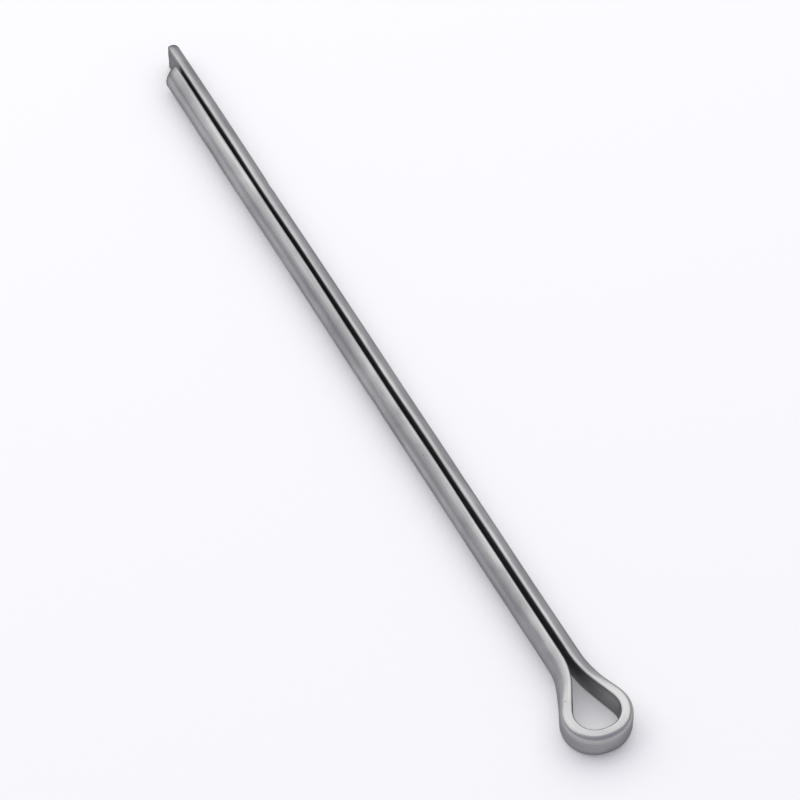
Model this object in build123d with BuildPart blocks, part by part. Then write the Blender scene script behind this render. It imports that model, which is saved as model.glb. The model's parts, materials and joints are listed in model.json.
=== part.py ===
from build123d import *
from math import asin, atan2, cos, hypot, radians, tan
import os

# Cotter pin: one length of half-round steel wire, folded flat face to flat face.
# The fold stays open as a teardrop eye, and the two legs together make a round shank.
# Bending presses the round of the wire flat on the outside of the eye.
# X runs along the shank from the eye to the tips, and Y across the two legs.
# The pin lies on its side, as it comes to rest, so Z is square to the plane of the eye.
# The origin is on the shank's axis, where the straight legs start from the neck.
# Sizes are in millimetres and angles in degrees.

# Shank: both legs together, the shorter one from shoulder to tip, and what the other adds
shank_diameter = 2.8
pin_length = 71.0
leg_overhang = 2.5
gap_at_neck = 0.42
gap_at_tips = 0.20

# Eye: its outside width, its outside length from the shoulder, and the flat of its far end.
# It leans by some degrees off the shank's axis, towards the side of the shorter leg.
# The shoulder is the corner that the neck rounds off, so far ahead of the straight legs.
eye_width = 5.9
eye_length = 7.0
eye_end_flat = 0.4
eye_lean = 5.0
neck_run = 1.6

# Pressed outside of the eye: how deep the wire is left there, and the angle at which the
# pressed face runs out along the sides of the eye, towards the neck
pressed_depth = 1.05
press_run_out = 4.0

# Wire: the rounding of its two edges, the slant of the shear and the break of the cut edge
wire_edge_radius = 0.18
shear_angle = 18.0
tip_edge_break = 0.12

# The rounds of both legs share the shank's axis half way along, where the gap is its mean
flat_to_axis = (gap_at_neck + gap_at_tips) / 4
wire_depth = shank_diameter / 2 - flat_to_axis
short_reach = pin_length - neck_run
long_reach = short_reach + leg_overhang

# Inside of the eye, behind the pressed wire
hole_length = eye_length - pressed_depth
corner_radius = (eye_width - eye_end_flat) / 2 - pressed_depth


def half_gap(x):
    """Distance from the shank's axis to the flat of a leg, which closes evenly towards the tips."""
    return (gap_at_neck + (gap_at_tips - gap_at_neck) * x / short_reach) / 2


# The side of the eye runs straight from the shoulder until it touches the arc of the corner
along = hole_length - corner_radius
across = eye_end_flat / 2 - half_gap(-neck_run)
flank_angle = atan2(across, along) + asin(corner_radius / hypot(along, across))


def neck_radius(side):
    """Bend from a leg into its side of the eye, which turns more on the side that the eye leans to."""
    return neck_run / tan((flank_angle + side * radians(eye_lean)) / 2)


def half_fold(side, reach):
    """Corners of one half of the fold, on the flat of the wire, from the leg's tip to the eye's end."""
    shoulder = Vector(-neck_run, 0)
    eye_corner = Vector(-hole_length, side * (half_gap(-neck_run) + hole_length * tan(flank_angle)))
    return [
        (reach, side * half_gap(reach)),
        (-neck_run, side * half_gap(-neck_run)),
        shoulder + eye_corner.rotate(Axis.Z, -eye_lean),
    ]


def pressed_outline():
    """Corners of the outline that the eye is pressed to, from the shoulder and along the eye's axis."""
    side_angle = flank_angle - radians(press_run_out)
    outer_radius = corner_radius + pressed_depth
    start = eye_end_flat / 2 + outer_radius / cos(side_angle) - along * tan(side_angle)
    end = start + eye_length * tan(side_angle)
    return [(0, start), (eye_length, end), (eye_length, -end), (0, -start)]


def offcut(side, reach):
    """What the shear takes off one leg. It slants, and leaves the +Y side of both legs shorter."""
    foremost_y = min(0, side * shank_diameter / 2)
    past_y = side * shank_diameter
    past_x = reach + shank_diameter
    slant = tan(radians(shear_angle))
    return [
        (reach + foremost_y * slant, 0),
        (reach - (past_y - foremost_y) * slant, past_y),
        (past_x, past_y),
        (past_x, 0),
    ]


with BuildPart() as cotter_pin:
    # The fold follows the flat of the wire, from the short leg round the eye to the long leg
    with BuildLine() as fold:
        corners = half_fold(1, short_reach) + half_fold(-1, long_reach)[::-1]
        FilletPolyline(*corners, radius=[neck_radius(1), corner_radius, corner_radius, neck_radius(-1)])

    # The wire is a little less than half round, and its two sharp edges are rolled over
    with BuildSketch(Plane(fold.line @ 0, x_dir=(0, 1, 0), z_dir=fold.line % 0)) as wire:
        with Locations((-flat_to_axis, 0)):
            Circle(shank_diameter / 2)
        Rectangle(shank_diameter, shank_diameter, align=(Align.MIN, Align.CENTER), mode=Mode.INTERSECT)
        fillet(wire.vertices(), radius=wire_edge_radius)
    sweep(path=fold.line)

    # The outside of the eye is pressed to a wall that stands square to the plane of the eye
    eye_axis = Vector(-1, 0).rotate(Axis.Z, -eye_lean)
    with BuildSketch(Plane((-neck_run, 0, 0), x_dir=eye_axis, z_dir=(0, 0, 1))) as pressed_off:
        Rectangle(2 * eye_length, 2 * eye_width, align=(Align.MIN, Align.CENTER))
        with BuildLine():
            outline = FilletPolyline(*pressed_outline(), radius=corner_radius + pressed_depth)
            Line(outline @ 1, outline @ 0)
        make_face(mode=Mode.SUBTRACT)
    extrude(amount=shank_diameter, both=True, mode=Mode.SUBTRACT)

    # Both tips are sheared on the same slant
    with BuildSketch() as offcuts:
        for side, reach in ((1, short_reach), (-1, long_reach)):
            with BuildLine():
                Polyline(*offcut(side, reach), close=True)
            make_face()
    extrude(amount=shank_diameter, both=True, mode=Mode.SUBTRACT)

    # The sheared faces have a small break all round
    shear_normal = Axis((0, 0, 0), (1, tan(radians(shear_angle)), 0))
    chamfer(cotter_pin.faces().filter_by(shear_normal).edges(), length=tip_edge_break)

cotter_pin.part.label = "cotter_pin"

os.makedirs("parts", exist_ok=True)
export_step(cotter_pin.part, "parts/cotter_pin.step")
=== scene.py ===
# %% [markdown]
# # A cotter pin in Blender
# A cotter pin is one length of half-round steel wire, folded flat face to flat face. The two legs
# make a round shank, and the fold stays open as a teardrop eye.
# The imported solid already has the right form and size, but its surface is plain and its edges are
# ideal. A real pin shows that it was drawn, bent and sheared: fine lines run along the wire, the
# section gives way where it bends, and each tip has a rolled edge and a torn face.
# Such marks could be sculpted on the solid's own mesh, but its faces don't follow the wire. So this
# lesson bends and sweeps the same wire again as a finer mesh, in the same place, and then makes a
# finish whose marks follow the wire round the eye.

# %% Load the frame and keep its box
import json
from math import asin, atan2, cos, hypot, pi, radians, sin, sqrt, tan

import bmesh
import bpy
import numpy as np
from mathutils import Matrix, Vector


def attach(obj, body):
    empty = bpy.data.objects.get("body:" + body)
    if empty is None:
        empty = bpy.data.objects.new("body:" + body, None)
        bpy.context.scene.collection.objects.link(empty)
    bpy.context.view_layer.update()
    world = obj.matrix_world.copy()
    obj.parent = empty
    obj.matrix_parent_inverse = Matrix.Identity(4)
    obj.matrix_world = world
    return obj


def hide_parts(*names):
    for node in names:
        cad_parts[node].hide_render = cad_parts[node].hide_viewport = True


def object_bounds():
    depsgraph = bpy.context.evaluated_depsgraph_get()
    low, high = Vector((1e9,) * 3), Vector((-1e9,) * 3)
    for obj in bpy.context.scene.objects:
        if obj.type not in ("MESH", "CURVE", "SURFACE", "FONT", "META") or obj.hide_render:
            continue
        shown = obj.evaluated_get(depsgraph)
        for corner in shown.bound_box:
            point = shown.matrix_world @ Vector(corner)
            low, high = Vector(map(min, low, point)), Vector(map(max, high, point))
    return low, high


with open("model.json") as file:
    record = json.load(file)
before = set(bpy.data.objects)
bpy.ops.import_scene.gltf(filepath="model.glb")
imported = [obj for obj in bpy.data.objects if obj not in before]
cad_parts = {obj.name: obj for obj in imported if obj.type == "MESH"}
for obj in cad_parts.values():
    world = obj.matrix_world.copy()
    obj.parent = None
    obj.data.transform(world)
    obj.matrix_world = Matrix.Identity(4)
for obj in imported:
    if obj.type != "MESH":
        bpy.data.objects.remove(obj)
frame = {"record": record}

MM = 0.001
cad_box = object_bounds()


def in_mm(box):
    """Both corners of a box in millimetres, for printing."""
    return [[round(c / MM, 2) for c in corner] for corner in box]


print("CAD box in mm:", in_mm(cad_box))

# %% [markdown]
# ## The sizes of the wire and its fold
# X runs along the shank towards the tips, Y goes across the legs and Z is up. The origin is where
# the straight legs start from the neck.
# The shank's radius and its straight length come from the frame's mount, so that the mesh can't
# drift from the solid. The other sizes could be measured on the solid too, but written out they
# read like a drawing of the fold. Each is in metres and written once.

# %% Sizes from the frame, and the driving sizes of the fold
shank = next(mount for mount in frame["record"]["mounts"] if mount["name"] == "shank")
shank_radius = shank["dims"]["r_mm"] * MM
short_reach = shank["dims"]["length_mm"] * MM

leg_overhang = 2.5 * MM
gap_at_neck = 0.42 * MM
gap_at_tips = 0.20 * MM
eye_width = 5.9 * MM
eye_length = 7.0 * MM
eye_end_flat = 0.4 * MM
eye_lean = radians(5.0)
neck_run = 1.6 * MM
pressed_depth = 1.05 * MM
wire_edge_radius = 0.18 * MM
shear_slant = tan(radians(18.0))
tip_edge_break = 0.12 * MM

flat_to_axis = (gap_at_neck + gap_at_tips) / 4
wire_depth = shank_radius - flat_to_axis
long_reach = short_reach + leg_overhang
hole_length = eye_length - pressed_depth
corner_radius = (eye_width - eye_end_flat) / 2 - pressed_depth
print("wire depth %.3f mm, inner corner radius %.3f mm" % (wire_depth / MM, corner_radius / MM))

# %% [markdown]
# ## The path of the fold
# A wire bender works with lengths that are fed and turns that are made. A curve with a bevel could
# follow the fold too, but its section can't change on the way, as real wire does round the eye.
# So the path is worked out from the same feeds and turns: straight, turn into the neck, straight
# flank, turn round the eye, and back to the other leg.
# Arcs that start at once would look stamped. In real wire the bend builds up over a short stretch,
# so the heading is averaged over that stretch before it is added up to a path.

# %% Corners of the fold on the flat of the wire
def half_gap(x):
    """Distance from the shank's axis to the flat of a leg, which closes evenly towards the tips."""
    return (gap_at_neck + (gap_at_tips - gap_at_neck) * x / short_reach) / 2


along = hole_length - corner_radius
across = eye_end_flat / 2 - half_gap(-neck_run)
flank_angle = atan2(across, along) + asin(corner_radius / hypot(along, across))


def neck_radius(side):
    """Bend from a leg into its side of the eye, which turns more where the eye leans to."""
    return neck_run / tan((flank_angle + side * eye_lean) / 2)


def half_fold(side, reach):
    """Tip, shoulder and eye corner of one half of the fold."""
    corner_y = side * (half_gap(-neck_run) + hole_length * tan(flank_angle))
    corner_x = -hole_length * cos(eye_lean) + corner_y * sin(eye_lean)
    return [
        (reach, side * half_gap(reach)),
        (-neck_run, side * half_gap(-neck_run)),
        (-neck_run + corner_x, hole_length * sin(eye_lean) + corner_y * cos(eye_lean)),
    ]


corners = np.array(half_fold(1, short_reach) + half_fold(-1, long_reach)[::-1])
bend_radii = np.array([neck_radius(1), corner_radius, corner_radius, neck_radius(-1)])
print("flank angle %.1f degrees" % np.degrees(flank_angle))

# %% Feed lengths and turns
runs = np.diff(corners, axis=0)
run_headings = np.arctan2(runs[:, 1], runs[:, 0])
turns = (np.diff(run_headings) + pi) % (2 * pi) - pi
setbacks = np.concatenate([[0], bend_radii * np.tan(np.abs(turns) / 2), [0]])

feeds = np.zeros(len(runs) + len(turns))
feeds[::2] = np.hypot(runs[:, 0], runs[:, 1]) - setbacks[:-1] - setbacks[1:]
feeds[1::2] = bend_radii * np.abs(turns)
turned = np.zeros(len(feeds))
turned[1::2] = turns

fed = np.append(0, np.cumsum(feeds))
heading = run_headings[0] + np.append(0, np.cumsum(turned))
wire_length = fed[-1]
print("wire length %.1f mm, turns in degrees:" % (wire_length / MM), np.degrees(turns).round(1))

# %% Add the headings up to a smooth path
BEND_BUILD_UP = 0.7 * MM
FINE_STEP = 0.02 * MM
HEADINGS_AVERAGED = 15

fine_s = np.linspace(0, wire_length, round(wire_length / FINE_STEP) + 1)
reaches = np.linspace(-BEND_BUILD_UP / 2, BEND_BUILD_UP / 2, HEADINGS_AVERAGED)
fine_heading = np.mean([np.interp(fine_s + reach, fed, heading) for reach in reaches], axis=0)

mid_heading = (fine_heading[1:] + fine_heading[:-1]) / 2
step = fine_s[1]
fine_x = corners[0, 0] + np.append(0, np.cumsum(np.cos(mid_heading) * step))
fine_y = corners[0, 1] + np.append(0, np.cumsum(np.sin(mid_heading) * step))
drift = hypot(fine_x[-1] - corners[-1, 0], fine_y[-1] - corners[-1, 1])
print("the smoothed path ends %.3f mm from the solid's" % (drift / MM))

# %% [markdown]
# ## Stations along the wire
# The mesh is a row of sections. Evenly spaced ones would be either coarse round the eye or wasteful
# along the legs. So the spacing follows the bend: a straight leg has few sections, a bend has many,
# and a sheared end has some very close ones for its rolled edge.

# %% Place the stations
LEG_SPACING = 0.24 * MM
BEND_SPACING = 0.11 * MM
SHARP_BEND = 0.25 / corner_radius
BEND_REACH = 2.0 * MM
EDGE_RINGS = 9
ROLL_LENGTH = 0.34 * MM
CLEAR_OF_ROLL = 1.3 * ROLL_LENGTH

sharpness = np.clip(np.abs(np.gradient(fine_heading, fine_s)) / SHARP_BEND, 0, 1)
reach_steps = round(BEND_REACH / FINE_STEP) + 1
near_bend = np.clip(np.convolve(sharpness, np.ones(reach_steps) / reach_steps, mode="same"), 0, 1)
spacing = LEG_SPACING + (BEND_SPACING - LEG_SPACING) * near_bend
count = np.append(0, np.cumsum(step / spacing[1:]))
middle_s = np.interp(np.arange(1, int(count[-1])), count, fine_s)
middle_s = middle_s[(middle_s > CLEAR_OF_ROLL) & (middle_s < wire_length - CLEAR_OF_ROLL)]

edge_s = ROLL_LENGTH * (1 - np.cos(np.linspace(0, pi / 2, EDGE_RINGS)))
station_s = np.concatenate([edge_s, middle_s, (wire_length - edge_s)[::-1]])
station_x = np.interp(station_s, fine_s, fine_x)
station_y = np.interp(station_s, fine_s, fine_y)
station_heading = np.interp(station_s, fine_s, fine_heading)
print(len(station_s), "stations")

# %% [markdown]
# ## The half-round section
# The wire is drawn and rolled to half round, so it has a crown, a flat, and two edges that the tools
# round over. A bevelled half disc would be close, but its points sit where the bevel puts them.
# Here the outline is written as four stretches, each with its own number of points. They go round
# once, first along the crown and then back along the flat.

# %% Outline of the section
CROWN_STEPS = 32
ROUND_STEPS = 7
FLAT_STEPS = 10

round_out = wire_edge_radius
round_up = sqrt((shank_radius - wire_edge_radius) ** 2 - (round_out + flat_to_axis) ** 2)
crown_end = atan2(round_up, round_out + flat_to_axis)

crown = np.linspace(-crown_end, crown_end, CROWN_STEPS, endpoint=False)
upper = np.linspace(crown_end, pi, ROUND_STEPS, endpoint=False)
lower = np.linspace(pi, 2 * pi - crown_end, ROUND_STEPS, endpoint=False)
flat_up = np.linspace(round_up, -round_up, FLAT_STEPS, endpoint=False)

half_round_out = np.concatenate([
    shank_radius * np.cos(crown) - flat_to_axis,
    round_out + wire_edge_radius * np.cos(upper),
    np.zeros(FLAT_STEPS),
    round_out + wire_edge_radius * np.cos(lower),
])
half_round_up = np.concatenate([
    shank_radius * np.sin(crown),
    round_up + wire_edge_radius * np.sin(upper),
    flat_up,
    -round_up + wire_edge_radius * np.sin(lower),
])
half_height = half_round_up.max()
level = half_round_up / half_height
points_round = len(half_round_out)
print(points_round, "points, %.3f mm high" % (2 * half_height / MM))

# %% [markdown]
# ## The pressed section of the eye
# Bent round so small a radius, the outside of the wire stretches and is pressed against the tool.
# Round the eye the crown is no longer round: it is a low wall that stands square to the plane of
# the eye, with full shoulders above and below. The inside is squeezed instead, so there the flat
# swells a little into the hole.
# A second outline could be drawn by hand, but a superellipse has that shape in one formula. Each
# crown point is moved along its own ray until it lies on it, and the two rounds stay.

# %% Outline of the pressed section
SHOULDER_FULLNESS = 4.6
FLAT_SWELL = 0.07 * MM

ray = np.arctan2(half_round_up, half_round_out)
powers = np.abs(np.cos(ray) / pressed_depth) ** SHOULDER_FULLNESS
powers = powers + np.abs(np.sin(ray) / half_height) ** SHOULDER_FULLNESS
ray_length = powers ** (-1 / SHOULDER_FULLNESS)
on_crown = np.arange(points_round) < CROWN_STEPS
pressed_out = np.where(on_crown, np.cos(ray) * ray_length, half_round_out)
pressed_up = np.where(on_crown, np.sin(ray) * ray_length, half_round_up)
on_flat = np.isclose(half_round_out, 0)
pressed_out = pressed_out - FLAT_SWELL * on_flat * (1 - (half_round_up / round_up) ** 2)
print("pressed to %.2f mm deep" % (pressed_out.max() / MM))

# %% [markdown]
# ## The sweep
# The round of the eye is fully pressed, and the pressing runs out along its sides before the neck.
# Wire that was straightened by rollers also keeps a trace of its old coil, so both legs wander a
# few hundredths of a millimetre and twist by a degree or so, and the light on them wanders too.
# A noise could shake each point by itself, but that looks like hammered steel. Slow waves move
# whole sections instead. Their random starts have a fixed seed, so every run gives the same pin.

# %% Where the wire is pressed
PRESS_RUN_OUT = 3.2 * MM

# The round of the eye is the second and the third turn, with the flat of its far end between them
round_start, round_end = fed[3], fed[6]
past_round = np.maximum(round_start - station_s, station_s - round_end)
left = np.clip(1 - past_round / PRESS_RUN_OUT, 0, 1)
pressed = (left**2 * (3 - 2 * left))[:, None]
out = half_round_out + pressed * (pressed_out - half_round_out)
up = half_round_up + pressed * (pressed_up - half_round_up)
print("pressed along %.1f mm of wire" % ((round_end - round_start) / MM))

# %% Let the legs wander and twist
SEED = 31
LEG_WANDER = 0.035 * MM
LEG_TWIST = radians(1.6)
WAVELENGTHS = np.array([61, 37, 23]) * MM
TWIST_CENTRE = wire_depth / 2

chance = np.random.default_rng(SEED)


def wander(wavelengths):
    """Slow waves along the wire, between -1 and 1. Each has a random start."""
    starts = chance.uniform(0, 2 * pi, len(wavelengths))
    waves = [np.sin(2 * pi * station_s / length + start) for length, start in zip(wavelengths, starts)]
    return np.mean(waves, axis=0)[:, None]


sideways = LEG_WANDER * wander(WAVELENGTHS)
twist = LEG_TWIST * wander(WAVELENGTHS / 2) * (1 - pressed)
out, up = (
    TWIST_CENTRE + (out - TWIST_CENTRE) * np.cos(twist) - up * np.sin(twist),
    up * np.cos(twist) + (out - TWIST_CENTRE) * np.sin(twist),
)
# A twisted section would reach a little below the floor, so it is squeezed to the others' height
up = up * np.minimum(1, half_height / np.abs(up).max(axis=1, keepdims=True))
print("legs twist by up to %.1f degrees" % np.degrees(np.abs(twist).max()))

# %% Sweep the section along the path
out_x = np.sin(station_heading)[:, None]
out_y = -np.cos(station_heading)[:, None]
x = station_x[:, None] + out * out_x
y = station_y[:, None] + (out + sideways) * out_y
z = up.copy()
print("swept", x.size, "points")

# %% Directions straight out of the wire
along_out = np.roll(out, -1, axis=1) - np.roll(out, 1, axis=1)
along_up = np.roll(up, -1, axis=1) - np.roll(up, 1, axis=1)
chord = np.hypot(along_out, along_up)
normal_out, normal_up = along_up / chord, -along_out / chord
print("points lie %.2f to %.2f mm apart" % (chord.min() / 2 / MM, chord.max() / 2 / MM))

# %% [markdown]
# ## The sheared tips
# Both legs are cut at one slant. The blade drags the edge of the cut over into a round, soft above
# and tight below, slides through the upper part and tears off the rest. So the upper part of the
# face is smooth, and the lower part is set back behind a small step, with a rough outline and a
# low burr. The middle of the face is a little hollow.
# A boolean would cut the slant and a bevel would round its edge, both too cleanly. Here the last
# sections lean over until they lie in the cut, and waves tear them. Each cut has its own waves, so
# the two tips differ.

# %% Lean the sections and roll the edges
LEAN_LENGTH = 3.0 * MM
ROLL_TOP = 1.1
ROLL_BOTTOM = 0.55

roll = tip_edge_break * (ROLL_BOTTOM + (ROLL_TOP - ROLL_BOTTOM) * (level + 1) / 2)
ends = ((station_s, 1), (wire_length - station_s, -1))


def shape_tip(tip_distance, side):
    """Leans the sections of one leg into the cut, and rolls the edge of the cut over."""
    foremost_y = min(0, side * shank_radius)
    for i in np.flatnonzero(tip_distance < LEAN_LENGTH):
        into_roll = max(0, 1 - tip_distance[i] / ROLL_LENGTH)
        inset = roll * (1 - sqrt(1 - into_roll**2))
        y[i] -= side * inset * normal_out[i]
        z[i] -= inset * normal_up[i]
        lean = 1 - tip_distance[i] / LEAN_LENGTH
        x[i] += lean * shear_slant * (foremost_y - y[i])


for tip_distance, side in ends:
    shape_tip(tip_distance, side)
print("tips end at x = %.2f and %.2f mm" % (x[0].max() / MM, x[-1].max() / MM))

# %% Tear the edge of each cut
RAGGED_LENGTH = 0.5 * MM
RAGGED_DEPTH = 0.16 * MM
BURR_HEIGHT = 0.05 * MM
RAGGED_WAVES = (2, 3, 5, 8, 13)
RAGGED_PHASES = (0.4, 2.3)
TORN_BELOW = 0.35
EDGE_SHARPNESS = 7


def below(height, edge, sharpness):
    """A soft step across the cut, which is 0 well above the edge and 1 well below it."""
    return 1 / (1 + np.exp((height - edge) * sharpness))


def ragged(phase):
    """A rough outline for one cut, from 0 at its highest to 1 at its deepest, by point."""
    turn = 2 * pi * np.arange(points_round) / points_round
    waves = [np.sin(turn * k + phase * k * k) / sqrt(k) for k in RAGGED_WAVES]
    rough = np.sum(waves, axis=0)
    return (rough - rough.min()) / (rough.max() - rough.min())


def tear(tip_distance, side, phase):
    """Sets the torn lower part of one cut back unevenly, and pushes a burr out along its edge."""
    low = below(level, TORN_BELOW, EDGE_SHARPNESS)
    for i in np.flatnonzero(tip_distance < RAGGED_LENGTH):
        share = 1 - tip_distance[i] / RAGGED_LENGTH
        x[i] -= RAGGED_DEPTH * share * low * ragged(phase)
        burr = BURR_HEIGHT * share * low * (1 - ragged(phase + 1))
        y[i] += side * burr * normal_out[i]


for (tip_distance, side), phase in zip(ends, RAGGED_PHASES):
    tear(tip_distance, side, phase)
print("torn tips end at x = %.2f and %.2f mm" % (x[0].max() / MM, x[-1].max() / MM))

# %% Rings of the two cut faces
FACE_RINGS = 15
SLID_SHARE = 0.30
STEP_SHARPNESS = 9
STEP_DEPTH = 0.07 * MM
TEAR_DEPTH = 0.06 * MM
HOLLOW_DEPTH = 0.10 * MM
RIM_SLOPE = 2.2
FACE_PHASES = (1.0, 4.0)

# Each wave of the tear: radians per millimetre across and up, how often the phase counts, strength
TEAR_WAVES = ((9, 4, 1, 1.0), (-6, 13, 2, 1.0), (23, -19, 1, 0.6))
slide_edge = 1 - 2 * SLID_SHARE


def torn_surface(face_y, face_z, phase):
    """Crossing waves over one cut face, between 0 and 2."""
    waves = [
        strength * np.sin((face_y * by_y + face_z * by_z) / MM + times * phase)
        for by_y, by_z, times, strength in TEAR_WAVES
    ]
    return 1 + sum(waves) / sum(wave[-1] for wave in TEAR_WAVES)


def cut_face(last, phase):
    """Rings from the outline of the last section to its middle, hollow and torn in the lower part."""
    middle = (last.min(axis=0) + last.max(axis=0)) / 2
    shares = np.linspace(1, 0, FACE_RINGS + 2)[1:-1]
    rings = np.array([middle + (last - middle) * share for share in shares])
    torn = below(rings[..., 2] / half_height, slide_edge, STEP_SHARPNESS)
    from_rim = np.clip((1 - shares) * RIM_SLOPE, 0, 1)[:, None]
    tears = torn_surface(rings[..., 1], rings[..., 2], phase)
    hollow = HOLLOW_DEPTH * (1 - shares[:, None] ** 2)
    rings[..., 0] -= hollow + from_rim * torn * (STEP_DEPTH + TEAR_DEPTH * tears)
    return rings


short_face, long_face = [
    cut_face(np.stack([x[end], y[end], z[end]], axis=1), phase)
    for end, phase in zip((0, -1), FACE_PHASES)
]
print("cut faces:", len(short_face), "rings each")

# %% [markdown]
# ## Knocks from handling
# Pins are tumbled and poured by the thousand, so each carries a few shallow dents. A bump in the
# finish would show them only in the light, not in the outline. So each dent here is a soft dimple
# on the crown, pushed straight in, and some are drawn out along the wire like a scrape.

# %% Press the dents in
DENTS = 34
DENT_RADIUS = (0.3 * MM, 0.8 * MM)
DENT_DEPTH = (0.012 * MM, 0.045 * MM)
DENT_STRETCH = (1, 2.2)
DENT_FALL_OFF = 2
CLEAR_OF_TIPS = 3 * MM
CLEAR_OF_EDGE = 2

around = np.append(0, np.cumsum(np.hypot(np.diff(half_round_out), np.diff(half_round_up))))
push = np.zeros_like(x)
for _ in range(DENTS):
    dent_s = chance.uniform(CLEAR_OF_TIPS, wire_length - CLEAR_OF_TIPS)
    dent_around = around[chance.integers(CLEAR_OF_EDGE, CROWN_STEPS - CLEAR_OF_EDGE)]
    radius = chance.uniform(*DENT_RADIUS)
    depth = chance.uniform(*DENT_DEPTH)
    length = radius * chance.uniform(*DENT_STRETCH)
    away = ((station_s[:, None] - dent_s) / length) ** 2 + ((around - dent_around) / radius) ** 2
    push = np.maximum(push, depth * np.exp(-DENT_FALL_OFF * away))
x -= push * normal_out * out_x
y -= push * normal_out * out_y
z -= push * normal_up
print(DENTS, "dents, the deepest %.3f mm" % (push.max() / MM))

# %% [markdown]
# ## The mesh
# The swept sections and the rings of the cut faces become one closed mesh, as the wire is one
# piece. Blender's own tools could bridge the rings one pair at a time. Here the faces are counted
# out with numpy, which is quick, and bmesh turns them all outwards.
# Each point also carries where it lay in the straight wire, as an attribute. A pattern that reads
# it runs along the wire and round the eye with no seam, which no picture laid over the pin could
# do. Three more attributes say how flat, how pressed and how near a cut each point is.

# %% Join the rings to one closed skin
rings = np.concatenate([short_face[::-1], np.stack([x, y, z], axis=2), long_face])
ring_count = len(rings)
vertices = np.concatenate([rings.reshape(-1, 3), rings[[0, -1]].mean(axis=1)])

here = np.arange(ring_count * points_round).reshape(ring_count, points_round)
beside = np.roll(here, -1, axis=1)
quads = np.stack([here[:-1], beside[:-1], beside[1:], here[1:]], axis=2).reshape(-1, 4)
middles = np.broadcast_to([[here.size], [here.size + 1]], (2, points_round))
start_fan = np.stack([beside[0], here[0], middles[0]], axis=1)
end_fan = np.stack([here[-1], beside[-1], middles[1]], axis=1)
faces = [*quads.tolist(), *start_fan.tolist(), *end_fan.tolist()]
print(len(vertices), "points and", len(faces), "faces")

# %% Make the mesh and turn its faces outwards
wire_mesh = bpy.data.meshes.new("folded_wire")
wire_mesh.from_pydata(vertices.tolist(), [], faces)
skin = bmesh.new()
skin.from_mesh(wire_mesh)
bmesh.ops.recalc_face_normals(skin, faces=skin.faces[:])
print("volume %.1f mm3" % (skin.calc_volume(signed=True) / MM**3))
skin.to_mesh(wire_mesh)
skin.free()
wire_mesh.polygons.foreach_set("use_smooth", [True] * len(wire_mesh.polygons))

# %% Write the attributes that the finish reads
# How far from each cut the skin is mixed darker
CUT_DARK_LENGTH = 0.6 * MM
FLAT_FADE = 1.2 * wire_edge_radius


def per_ring(values):
    """Values of the swept rings, with the nearest one repeated for the rings of the cut faces."""
    before = np.repeat(values[:1], len(short_face), axis=0)
    after = np.repeat(values[-1:], len(long_face), axis=0)
    return np.concatenate([before, values, after])


def add_attribute(name, values):
    """Writes one number or one vector for each point. The last two points are the faces' middles."""
    values = np.concatenate([values, values[:1], values[-1:]])
    kind, field = ("FLOAT_VECTOR", "vector") if values.ndim == 2 else ("FLOAT", "value")
    layer = wire_mesh.attributes.new(name, kind, "POINT")
    layer.data.foreach_set(field, values.astype(np.float32).ravel())


ring_s = per_ring(station_s)
straight = np.zeros((ring_count, points_round, 3))
straight[..., 0] = ring_s[:, None]
straight[..., 1] = half_round_out
straight[..., 2] = half_round_up
add_attribute("straight_wire", straight.reshape(-1, 3))

to_tip = np.minimum(ring_s, wire_length - ring_s)[:, None]
for name, values in (
    ("flat_side", np.clip(1 - half_round_out / FLAT_FADE, 0, 1)),
    ("pressed", per_ring(pressed)),
    ("near_cut", np.clip(1 - to_tip / CUT_DARK_LENGTH, 0, 1)),
):
    add_attribute(name, np.broadcast_to(values, (ring_count, points_round)).ravel())
print("attributes:", [a.name for a in wire_mesh.attributes if not a.name.startswith(".")])

# %% Put the piece in the place of the plain solid
wire = bpy.data.objects.new("drawn_wire", wire_mesh)
bpy.context.collection.objects.link(wire)
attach(wire, "root")
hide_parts("cotter_pin")
print(wire.name, "stands for the solid")

# %% [markdown]
# ## Helpers for shader nodes
# A node tree could be drawn by hand in the shader editor. In a script it is easier to read when
# each node is one call that names its settings and what feeds it, so a few small helpers come
# first. An effect that is used more than once becomes a node group: it is built once, and each use
# gives it its own sizes.

# %% A node in one call
def node(tree, kind, settings=None, **feeds):
    """Adds a node. Its settings are properties, and its feeds are sockets to link or plain values.

    A feed has the name of its input, or i0, i1 and so on where inputs share a name.
    """
    made = tree.nodes.new(kind)
    for name, value in (settings or {}).items():
        setattr(made, name, value)
    for name, feed in feeds.items():
        key = int(name[1:]) if name[0] == "i" and name[1:].isdigit() else name.replace("_", " ")
        if isinstance(feed, bpy.types.NodeSocket):
            tree.links.new(feed, made.inputs[key])
        else:
            made.inputs[key].default_value = feed
    return made


print("helper:", node.__name__)

# %% Sums, ranges and colours
def combine(tree, operation, first, second):
    """One step of arithmetic on two numbers or sockets."""
    return node(tree, "ShaderNodeMath", {"operation": operation}, i0=first, i1=second).outputs[0]


def combine_vectors(tree, operation, first, second):
    """The same on two vectors, axis by axis. A single number counts for all three axes."""
    made = node(tree, "ShaderNodeVectorMath", {"operation": operation}, i0=first, i1=second)
    return made.outputs[0]


def map_range(tree, value, low, high, to_low, to_high):
    """Maps a stretch of values onto another, and holds at its ends."""
    return node(tree, "ShaderNodeMapRange", Value=value, From_Min=low, From_Max=high,
                To_Min=to_low, To_Max=to_high).outputs[0]


def mix_colour(tree, share, first, second):
    """Mixes two colours by a share. The colours have sockets of their own on the mix node."""
    mixed = node(tree, "ShaderNodeMix", {"data_type": "RGBA"}, i0=share, i6=first, i7=second)
    return mixed.outputs[2]


def attribute(tree, name, output):
    """Reads one of the mesh's own attributes."""
    return node(tree, "ShaderNodeAttribute", {"attribute_name": name}).outputs[output]


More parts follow.
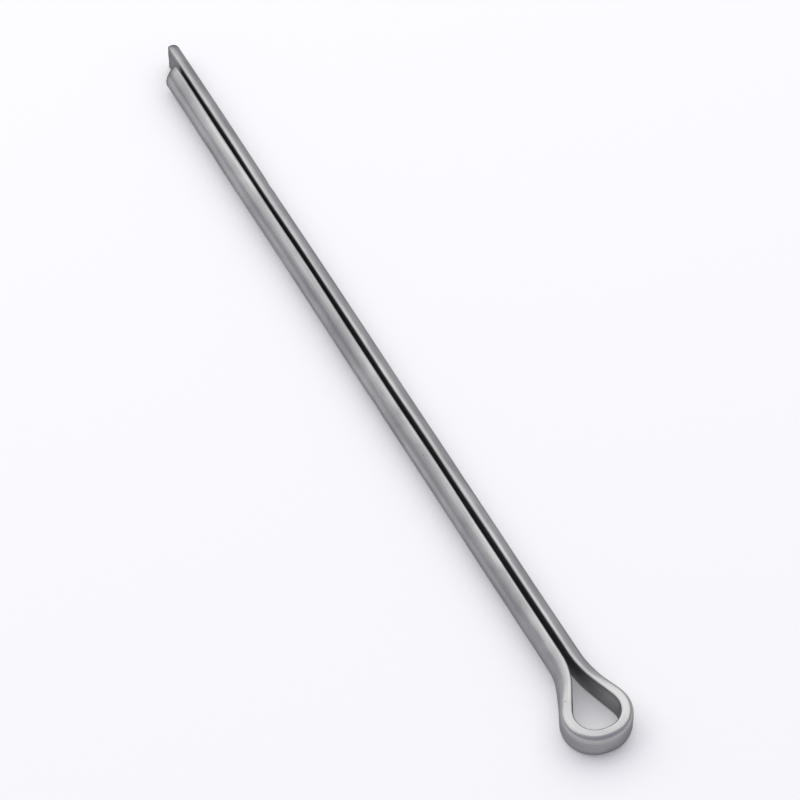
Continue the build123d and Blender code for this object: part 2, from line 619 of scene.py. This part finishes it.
helpers = (combine, combine_vectors, map_range, mix_colour, attribute)
print("helpers:", ", ".join(helper.__name__ for helper in helpers))

# %% A group of nodes with named sockets
FLOAT, VECTOR = "NodeSocketFloat", "NodeSocketVector"


def new_group(name, inputs, outputs):
    """A shader node group. Its inputs are given as name: (kind, default)."""
    group = bpy.data.node_groups.new(name, "ShaderNodeTree")
    for label, (kind, default) in inputs.items():
        socket = group.interface.new_socket(name=label, in_out="INPUT", socket_type=kind)
        if default is not None:
            socket.default_value = default
    for label, kind in outputs.items():
        group.interface.new_socket(name=label, in_out="OUTPUT", socket_type=kind)
    start = group.nodes.new("NodeGroupInput")
    end = group.nodes.new("NodeGroupOutput")
    return group, start.outputs, end.inputs


def use_group(tree, group, **feeds):
    """Places a group in a tree, with its own values."""
    return node(tree, "ShaderNodeGroup", {"node_tree": group}, **feeds).outputs


def place_in_sizes(tree, place, size, squeeze):
    """A place counted in sizes, and squeezed along the wire so that what it carries is longer there."""
    squeezed = combine_vectors(tree, "MULTIPLY", place, (squeeze, 1.0, 1.0))
    return combine_vectors(tree, "DIVIDE", squeezed, size)


print("helpers:", ", ".join(helper.__name__ for helper in (new_group, use_group, place_in_sizes)))

# %% [markdown]
# ## Draw lines
# Pulling wire through a die scores it lengthwise. A wave texture would give lines too, but evenly
# spaced ones. Noise that is stretched a long way along the wire and packed tightly across it gives
# lines of all widths. Since it reads the place in the straight wire, the lines bend with the wire
# and go round the section with no seam.

# %% Group: draw lines
FINE_NOISE = {"Scale": 1.0, "Detail": 3.0, "Roughness": 0.6}
BROAD_NOISE = {"Scale": 0.3, "Detail": 1.0, "Roughness": 0.5}


def make_draw_lines():
    """Lengthwise lines: a height for the bump and a tone for colour and gloss."""
    group, given, result = new_group(
        "Draw lines",
        {"Vector": (VECTOR, None), "Length": (FLOAT, 20 * MM), "Width": (FLOAT, 0.2 * MM)},
        {"Height": FLOAT, "Tone": FLOAT},
    )
    size = node(group, "ShaderNodeCombineXYZ", X=given["Length"], Y=given["Width"], Z=given["Width"])
    stretched = combine_vectors(group, "DIVIDE", given["Vector"], size.outputs[0])
    fine = node(group, "ShaderNodeTexNoise", Vector=stretched, **FINE_NOISE).outputs["Fac"]
    broad = node(group, "ShaderNodeTexNoise", Vector=stretched, **BROAD_NOISE).outputs["Fac"]
    group.links.new(fine, result["Height"])
    mean = combine(group, "MULTIPLY", combine(group, "ADD", fine, broad), 0.5)
    group.links.new(mean, result["Tone"])
    return group


draw_lines = make_draw_lines()
print(draw_lines.name, [item.name for item in draw_lines.interface.items_tree])

# %% [markdown]
# ## Pits and specks
# Bare wire is never clean: small pits, scale and dried oil leave dark dots. A noise cut off at a
# high value gives blots of one kind. Voronoi cells give one dot each, and only some cells are used
# and each dot has its own size, so they don't look like a pattern. The dots are a little longer
# along the wire, as drawing smears them.

# %% Group: pits and specks
DOT_SQUEEZE = 0.6
DOT_CORE = 0.3


def make_pits():
    """Scattered dots: a mask that is 1 in the middle of a pit."""
    group, given, result = new_group(
        "Pits and specks",
        {
            "Vector": (VECTOR, None),
            "Spacing": (FLOAT, 0.8 * MM),
            "Share": (FLOAT, 0.3),
            "Size": (FLOAT, 0.2),
        },
        {"Mask": FLOAT},
    )
    place = place_in_sizes(group, given["Vector"], given["Spacing"], DOT_SQUEEZE)
    cells = node(group, "ShaderNodeTexVoronoi", Vector=place, Scale=1.0, Randomness=1.0)
    of_cell = node(group, "ShaderNodeSeparateColor", Color=cells.outputs["Color"]).outputs
    chosen = combine(group, "LESS_THAN", of_cell["Red"], given["Share"])
    size = combine(group, "MULTIPLY", given["Size"], of_cell["Green"])
    ratio = combine(group, "DIVIDE", cells.outputs["Distance"], size)
    dot = node(group, "ShaderNodeMapRange", {"interpolation_type": "SMOOTHSTEP"},
               Value=ratio, From_Min=1.0, From_Max=DOT_CORE, To_Min=0.0, To_Max=1.0)
    group.links.new(combine(group, "MULTIPLY", dot.outputs[0], chosen), result["Mask"])
    return group


pits = make_pits()
print(pits.name, [item.name for item in pits.interface.items_tree])

# %% [markdown]
# ## Cloudiness
# Handling, oil and uneven scale leave the steel a little darker here and lighter there, over a few
# millimetres. Painted patches would repeat or show their brush. One soft, slightly bent noise does
# it, and both finishes use it, the cut face at a much smaller size as its grain.

# %% Group: cloudiness
CLOUD_SQUEEZE = 0.5
CLOUD_NOISE = {"Scale": 1.0, "Detail": 4.0, "Roughness": 0.55, "Distortion": 0.3}


def make_clouds():
    """Soft patches a few millimetres across, stretched along the wire."""
    group, given, result = new_group(
        "Clouds",
        {"Vector": (VECTOR, None), "Size": (FLOAT, 3 * MM)},
        {"Tone": FLOAT},
    )
    place = place_in_sizes(group, given["Vector"], given["Size"], CLOUD_SQUEEZE)
    noise = node(group, "ShaderNodeTexNoise", Vector=place, **CLOUD_NOISE)
    group.links.new(noise.outputs["Fac"], result["Tone"])
    return group


clouds = make_clouds()
print(clouds.name, [item.name for item in clouds.interface.items_tree])

# %% [markdown]
# ## The drawn steel
# Bare steel is a metal with a fairly soft gloss. Its colour is mid grey, and most of what the eye
# sees in it is the room. One grey with one roughness would look like plastic. So the work goes into
# how they vary: the lines and clouds, the flat, which is painted darker as shade for the inside of
# the eye and the gap between the legs, the pressed outside of the eye, which is polished a little,
# the darker skin beside each cut, and the specks.
# A clean metal mirrors everything at a grazing angle. Scale and oil stop that on a real pin, so the
# shader's Specular Tint is a dark grey, which keeps the edges of the wire from glowing.

# %% Colours of the steel
STEEL_DARK = (0.32, 0.32, 0.325, 1.0)
STEEL_LIGHT = (0.49, 0.49, 0.485, 1.0)
# Painted shade for the flat, which lies inside the eye's hole and in the gap between the legs
FLAT_SHADE_TONE = (0.19, 0.19, 0.195, 1.0)
# A darker tone for the skin beside each cut and for the torn part of the cut face
CUT_DARK_TONE = (0.13, 0.13, 0.12, 1.0)
SPECK_TONE = (0.10, 0.085, 0.07, 1.0)
GRAZING_TINT = (0.35, 0.35, 0.36, 1.0)


def new_steel(name):
    """A material whose shader is bare metal. Its colour, gloss and bump come later."""
    material = bpy.data.materials.new(name)
    material.use_nodes = True
    shader = material.node_tree.nodes["Principled BSDF"]
    shader.inputs["Metallic"].default_value = 1.0
    shader.inputs["Specular Tint"].default_value = GRAZING_TINT
    return material, material.node_tree, shader


def link_finish(tree, shader, colour, roughness, height, bump):
    """Feeds the shader's colour, its roughness, and its normal by way of a bump."""
    bumped = node(tree, "ShaderNodeBump", Height=height, **bump)
    tree.links.new(colour, shader.inputs["Base Color"])
    tree.links.new(roughness, shader.inputs["Roughness"])
    tree.links.new(bumped.outputs[0], shader.inputs["Normal"])


print("steel from %.2f to %.2f, flat %.2f" % (STEEL_DARK[0], STEEL_LIGHT[0], FLAT_SHADE_TONE[0]))

# %% Material: drawn steel
# A range of four numbers is the stretch of values that is read, and what its two ends become
FINE_LINES = {"Length": 30 * MM, "Width": 0.16 * MM}
SCORES = {"Length": 12 * MM, "Width": 0.45 * MM}
CLOUD_SIZE = 2.2 * MM
SPECKS = {"Spacing": 0.7 * MM, "Share": 0.55, "Size": 0.11}
TONE_RANGE = (1.27, 1.73)
FLAT_SHADE_SHARE = 0.30
CUT_DARK_RANGE = (0.0, 0.5, 0.0, 0.9)
SPECK_SHARE = 0.55
ROUGHNESS_RANGE = (0.3, 0.7, 0.54, 0.40)
PRESSED_POLISH = 0.03
SPECK_ROUGHNESS = 0.25
SPECK_PIT = 1.5
SCORE_RELIEF = 1.2
DRAWN_BUMP = {"Strength": 0.5, "Distance": 0.02 * MM}


def make_drawn_steel():
    """Satin grey steel with lines along the wire."""
    material, tree, shader = new_steel("drawn_steel_finish")
    place = attribute(tree, "straight_wire", "Vector")
    lines = use_group(tree, draw_lines, Vector=place, **FINE_LINES)
    scores = use_group(tree, draw_lines, Vector=place, **SCORES)
    cloud = use_group(tree, clouds, Vector=place, Size=CLOUD_SIZE)["Tone"]
    specks = use_group(tree, pits, Vector=place, **SPECKS)["Mask"]

    tone = combine(tree, "ADD", combine(tree, "ADD", lines["Tone"], scores["Tone"]), cloud)
    colour = mix_colour(tree, map_range(tree, tone, *TONE_RANGE, 0.0, 1.0), STEEL_DARK, STEEL_LIGHT)
    # The flat is painted darker as shade, for the inside of the eye and the gap between the legs
    flat = combine(tree, "MULTIPLY", attribute(tree, "flat_side", "Fac"), FLAT_SHADE_SHARE)
    colour = mix_colour(tree, flat, colour, FLAT_SHADE_TONE)
    # The skin is mixed darker beside each cut, in patches of the clouds
    cut_darkening = combine(tree, "MULTIPLY", attribute(tree, "near_cut", "Fac"), cloud)
    colour = mix_colour(tree, map_range(tree, cut_darkening, *CUT_DARK_RANGE), colour, CUT_DARK_TONE)
    colour = mix_colour(tree, combine(tree, "MULTIPLY", specks, SPECK_SHARE), colour, SPECK_TONE)

    polish = combine(tree, "MULTIPLY", attribute(tree, "pressed", "Fac"), PRESSED_POLISH)
    roughness = combine(tree, "SUBTRACT", map_range(tree, scores["Tone"], *ROUGHNESS_RANGE), polish)
    dulled = combine(tree, "MULTIPLY", specks, SPECK_ROUGHNESS)
    roughness = combine(tree, "ADD", roughness, dulled)

    sunk = combine(tree, "MULTIPLY", specks, SPECK_PIT)
    scored = combine(tree, "MULTIPLY", scores["Height"], SCORE_RELIEF)
    height = combine(tree, "ADD", combine(tree, "SUBTRACT", lines["Height"], sunk), scored)
    link_finish(tree, shader, colour, roughness, height, DRAWN_BUMP)
    return material


drawn_steel = make_drawn_steel()
print(drawn_steel.name, "has", len(drawn_steel.node_tree.nodes), "nodes")

# %% [markdown]
# ## The sheared steel
# The cut face is newer steel than the skin. Where the blade slid it is smooth, and where it tore it
# is dull, darker and grainy. The drawn finish could be used here too, but its lines follow the
# skin, so they would end in a star at the middle of the face. A second material reads the place on
# the pin instead, and the height there says where the tear begins.

# %% Material: sheared steel
GRAIN_SIZE = 0.22 * MM
TORN_PITS = {"Spacing": 0.35 * MM, "Share": 0.5, "Size": 0.4}
STEP_BLUR = 0.1 * MM
GRAIN_RANGE = (0.35, 0.65)
SLID_ROUGHNESS = 0.34
TORN_ROUGHNESS = 0.62
SHEARED_BUMP = {"Strength": 0.6, "Distance": 0.03 * MM}


def make_sheared_steel():
    """The cut face: shiny above, torn and dull below."""
    material, tree, shader = new_steel("sheared_steel_finish")
    place = node(tree, "ShaderNodeTexCoord").outputs["Object"]
    grain = use_group(tree, clouds, Vector=place, Size=GRAIN_SIZE)["Tone"]
    torn_pits = use_group(tree, pits, Vector=place, **TORN_PITS)["Mask"]
    height_on_pin = node(tree, "ShaderNodeSeparateXYZ", Vector=place).outputs["Z"]
    edge = half_height * slide_edge
    torn = map_range(tree, height_on_pin, edge + STEP_BLUR, edge - STEP_BLUR, 0.0, 1.0)

    share = map_range(tree, grain, *GRAIN_RANGE, 0.0, 1.0)
    slid_colour = mix_colour(tree, share, STEEL_DARK, STEEL_LIGHT)
    # The torn part of the cut face is mixed darker
    torn_colour = mix_colour(tree, share, CUT_DARK_TONE, STEEL_DARK)
    colour = mix_colour(tree, torn, slid_colour, torn_colour)
    colour = mix_colour(tree, combine(tree, "MULTIPLY", torn_pits, torn), colour, SPECK_TONE)
    roughness = map_range(tree, torn, 0.0, 1.0, SLID_ROUGHNESS, TORN_ROUGHNESS)
    link_finish(tree, shader, colour, roughness, combine(tree, "MULTIPLY", grain, torn), SHEARED_BUMP)
    return material


sheared_steel = make_sheared_steel()
print(sheared_steel.name, "has", len(sheared_steel.node_tree.nodes), "nodes")

# %% Give each face its finish
wire_mesh.materials.append(drawn_steel)
wire_mesh.materials.append(sheared_steel)
cut_quads = FACE_RINGS * points_round
fans = len(start_fan) + len(end_fan)
finish_index = np.zeros(len(faces), dtype=int)
finish_index[:cut_quads] = 1
finish_index[-(cut_quads + fans):] = 1
wire_mesh.polygons.foreach_set("material_index", finish_index)
print(finish_index.sum(), "faces wear the sheared finish")

# %% [markdown]
# ## Floor
# The pin lies on a plain white floor. More light would make the floor white, but it would also wash
# out the steel. So for the camera and for reflections a small part of the floor glows instead.
# Light Path keeps that glow off the pin's lighting, and the shadow stays.

# %% Floor
FLOOR_SIDE = 4.0
FLOOR_COLOUR = (0.88, 0.88, 0.89, 1.0)
FLOOR_GLOW = 0.14
WHITE = (1.0, 1.0, 1.0, 1.0)


def make_floor_finish():
    """Matt white, with a little glow for the rays that show it."""
    material = bpy.data.materials.new("white_floor")
    material.use_nodes = True
    tree = material.node_tree
    tree.nodes.remove(tree.nodes["Principled BSDF"])
    matt = node(tree, "ShaderNodeBsdfDiffuse", Color=FLOOR_COLOUR)
    path = node(tree, "ShaderNodeLightPath").outputs
    mirrored = combine(tree, "MAXIMUM", path["Is Glossy Ray"], path["Is Transmission Ray"])
    shown = combine(tree, "MAXIMUM", path["Is Camera Ray"], mirrored)
    glow = node(tree, "ShaderNodeEmission", Color=WHITE,
                Strength=combine(tree, "MULTIPLY", shown, FLOOR_GLOW))
    total = node(tree, "ShaderNodeAddShader", i0=matt.outputs[0], i1=glow.outputs[0])
    tree.links.new(total.outputs[0], tree.nodes["Material Output"].inputs["Surface"])
    return material


floor_mesh = bpy.data.meshes.new("floor")
half_side = FLOOR_SIDE / 2
floor_z = cad_box[0][2]
floor_corners = [
    (sx * half_side, sy * half_side, floor_z)
    for sx, sy in ((-1, -1), (1, -1), (1, 1), (-1, 1))
]
floor_mesh.from_pydata(floor_corners, [], [(0, 1, 2, 3)])
floor_mesh.materials.append(make_floor_finish())
floor = bpy.data.objects.new("floor", floor_mesh)
bpy.context.collection.objects.link(floor)
print("floor at z = %.2f mm" % (floor_z / MM))

# %% [markdown]
# ## Camera
# The camera looks down steeply from behind the eye, so the eye is nearest, and stands about 370 mm
# away. Angle and distance are those of the photograph, so the perspective is the same. The pin is
# small in the photograph, so the lens here is longer and the pin fills the frame.
# Aimed at the middle of the box, the camera would show the pin off centre, because the near end
# looks larger. So the aim is moved to the middle of what is seen, and a few rounds settle it.

# %% Aim at the middle of what is seen
CAMERA_AZIMUTH = radians(-118.2)
CAMERA_ELEVATION = radians(54.5)
CAMERA_DISTANCE = 370 * MM
AIM_ROUNDS = 3

back = Vector((
    sin(CAMERA_AZIMUTH) * cos(CAMERA_ELEVATION),
    -cos(CAMERA_AZIMUTH) * cos(CAMERA_ELEVATION),
    sin(CAMERA_ELEVATION),
))
turned = back.to_track_quat("Z", "Y")
right, upward = np.array(turned @ Vector((1, 0, 0))), np.array(turned @ Vector((0, 1, 0)))
target = np.array((cad_box[0] + cad_box[1]) / 2)
for _ in range(AIM_ROUNDS):
    seen = vertices - target
    nearer = 1 - seen @ np.array(back) / CAMERA_DISTANCE
    for axis in (right, upward):
        places = seen @ axis / nearer
        target = target + axis * (places.min() + places.max()) / 2
print("aimed at", (target / MM).round(1), "mm")

# %% Camera
VIEW_ANGLE = radians(10.35)
NEAREST_SEEN = 10 * MM

camera = bpy.data.objects.new("camera", bpy.data.cameras.new("camera"))
bpy.context.collection.objects.link(camera)
camera.location = Vector(target) + CAMERA_DISTANCE * back
camera.rotation_euler = turned.to_euler()
camera.data.angle = VIEW_ANGLE
camera.data.clip_start = NEAREST_SEEN
bpy.context.scene.camera = camera
print("camera at", [round(c, 3) for c in camera.location], "lens %.0f mm" % camera.data.lens)

# %% [markdown]
# ## Light
# Steel shows what stands round it. A small lamp would give a thin hard glint and a sharp shadow. So
# one large soft box, a little warm, stands high beyond the tips and gives the broad bright line
# along the top of each leg.
# The room round it is a dimmer grey with a touch of lavender. It tints the soft shadow, and the
# sides of the wire mirror it, so they stay darker than the tops.

# %% Soft box and room
ROOM_COLOUR = (0.40, 0.39, 0.46, 1.0)
BOX_SIZE = (1.7, 0.9)
BOX_PLACE = Vector((0.36, -0.06, 0.60))
BOX_POWER = 6.2
BOX_COLOUR = (1.0, 0.995, 0.95)

room = bpy.data.worlds.new("room")
room.use_nodes = True
room.node_tree.nodes["Background"].inputs["Color"].default_value = ROOM_COLOUR
room.node_tree.nodes["Background"].inputs["Strength"].default_value = 1.0
bpy.context.scene.world = room

lamp = bpy.data.lights.new("soft_box", "AREA")
lamp.shape = "RECTANGLE"
lamp.size, lamp.size_y = BOX_SIZE
lamp.energy = BOX_POWER
lamp.color = BOX_COLOUR
soft_box = bpy.data.objects.new("soft_box", lamp)
bpy.context.collection.objects.link(soft_box)
soft_box.location = BOX_PLACE
soft_box.rotation_euler = (BOX_PLACE - Vector(target)).to_track_quat("Z", "Y").to_euler()
bpy.context.scene.view_settings.view_transform = "Standard"
print("soft box %.1f W" % BOX_POWER)
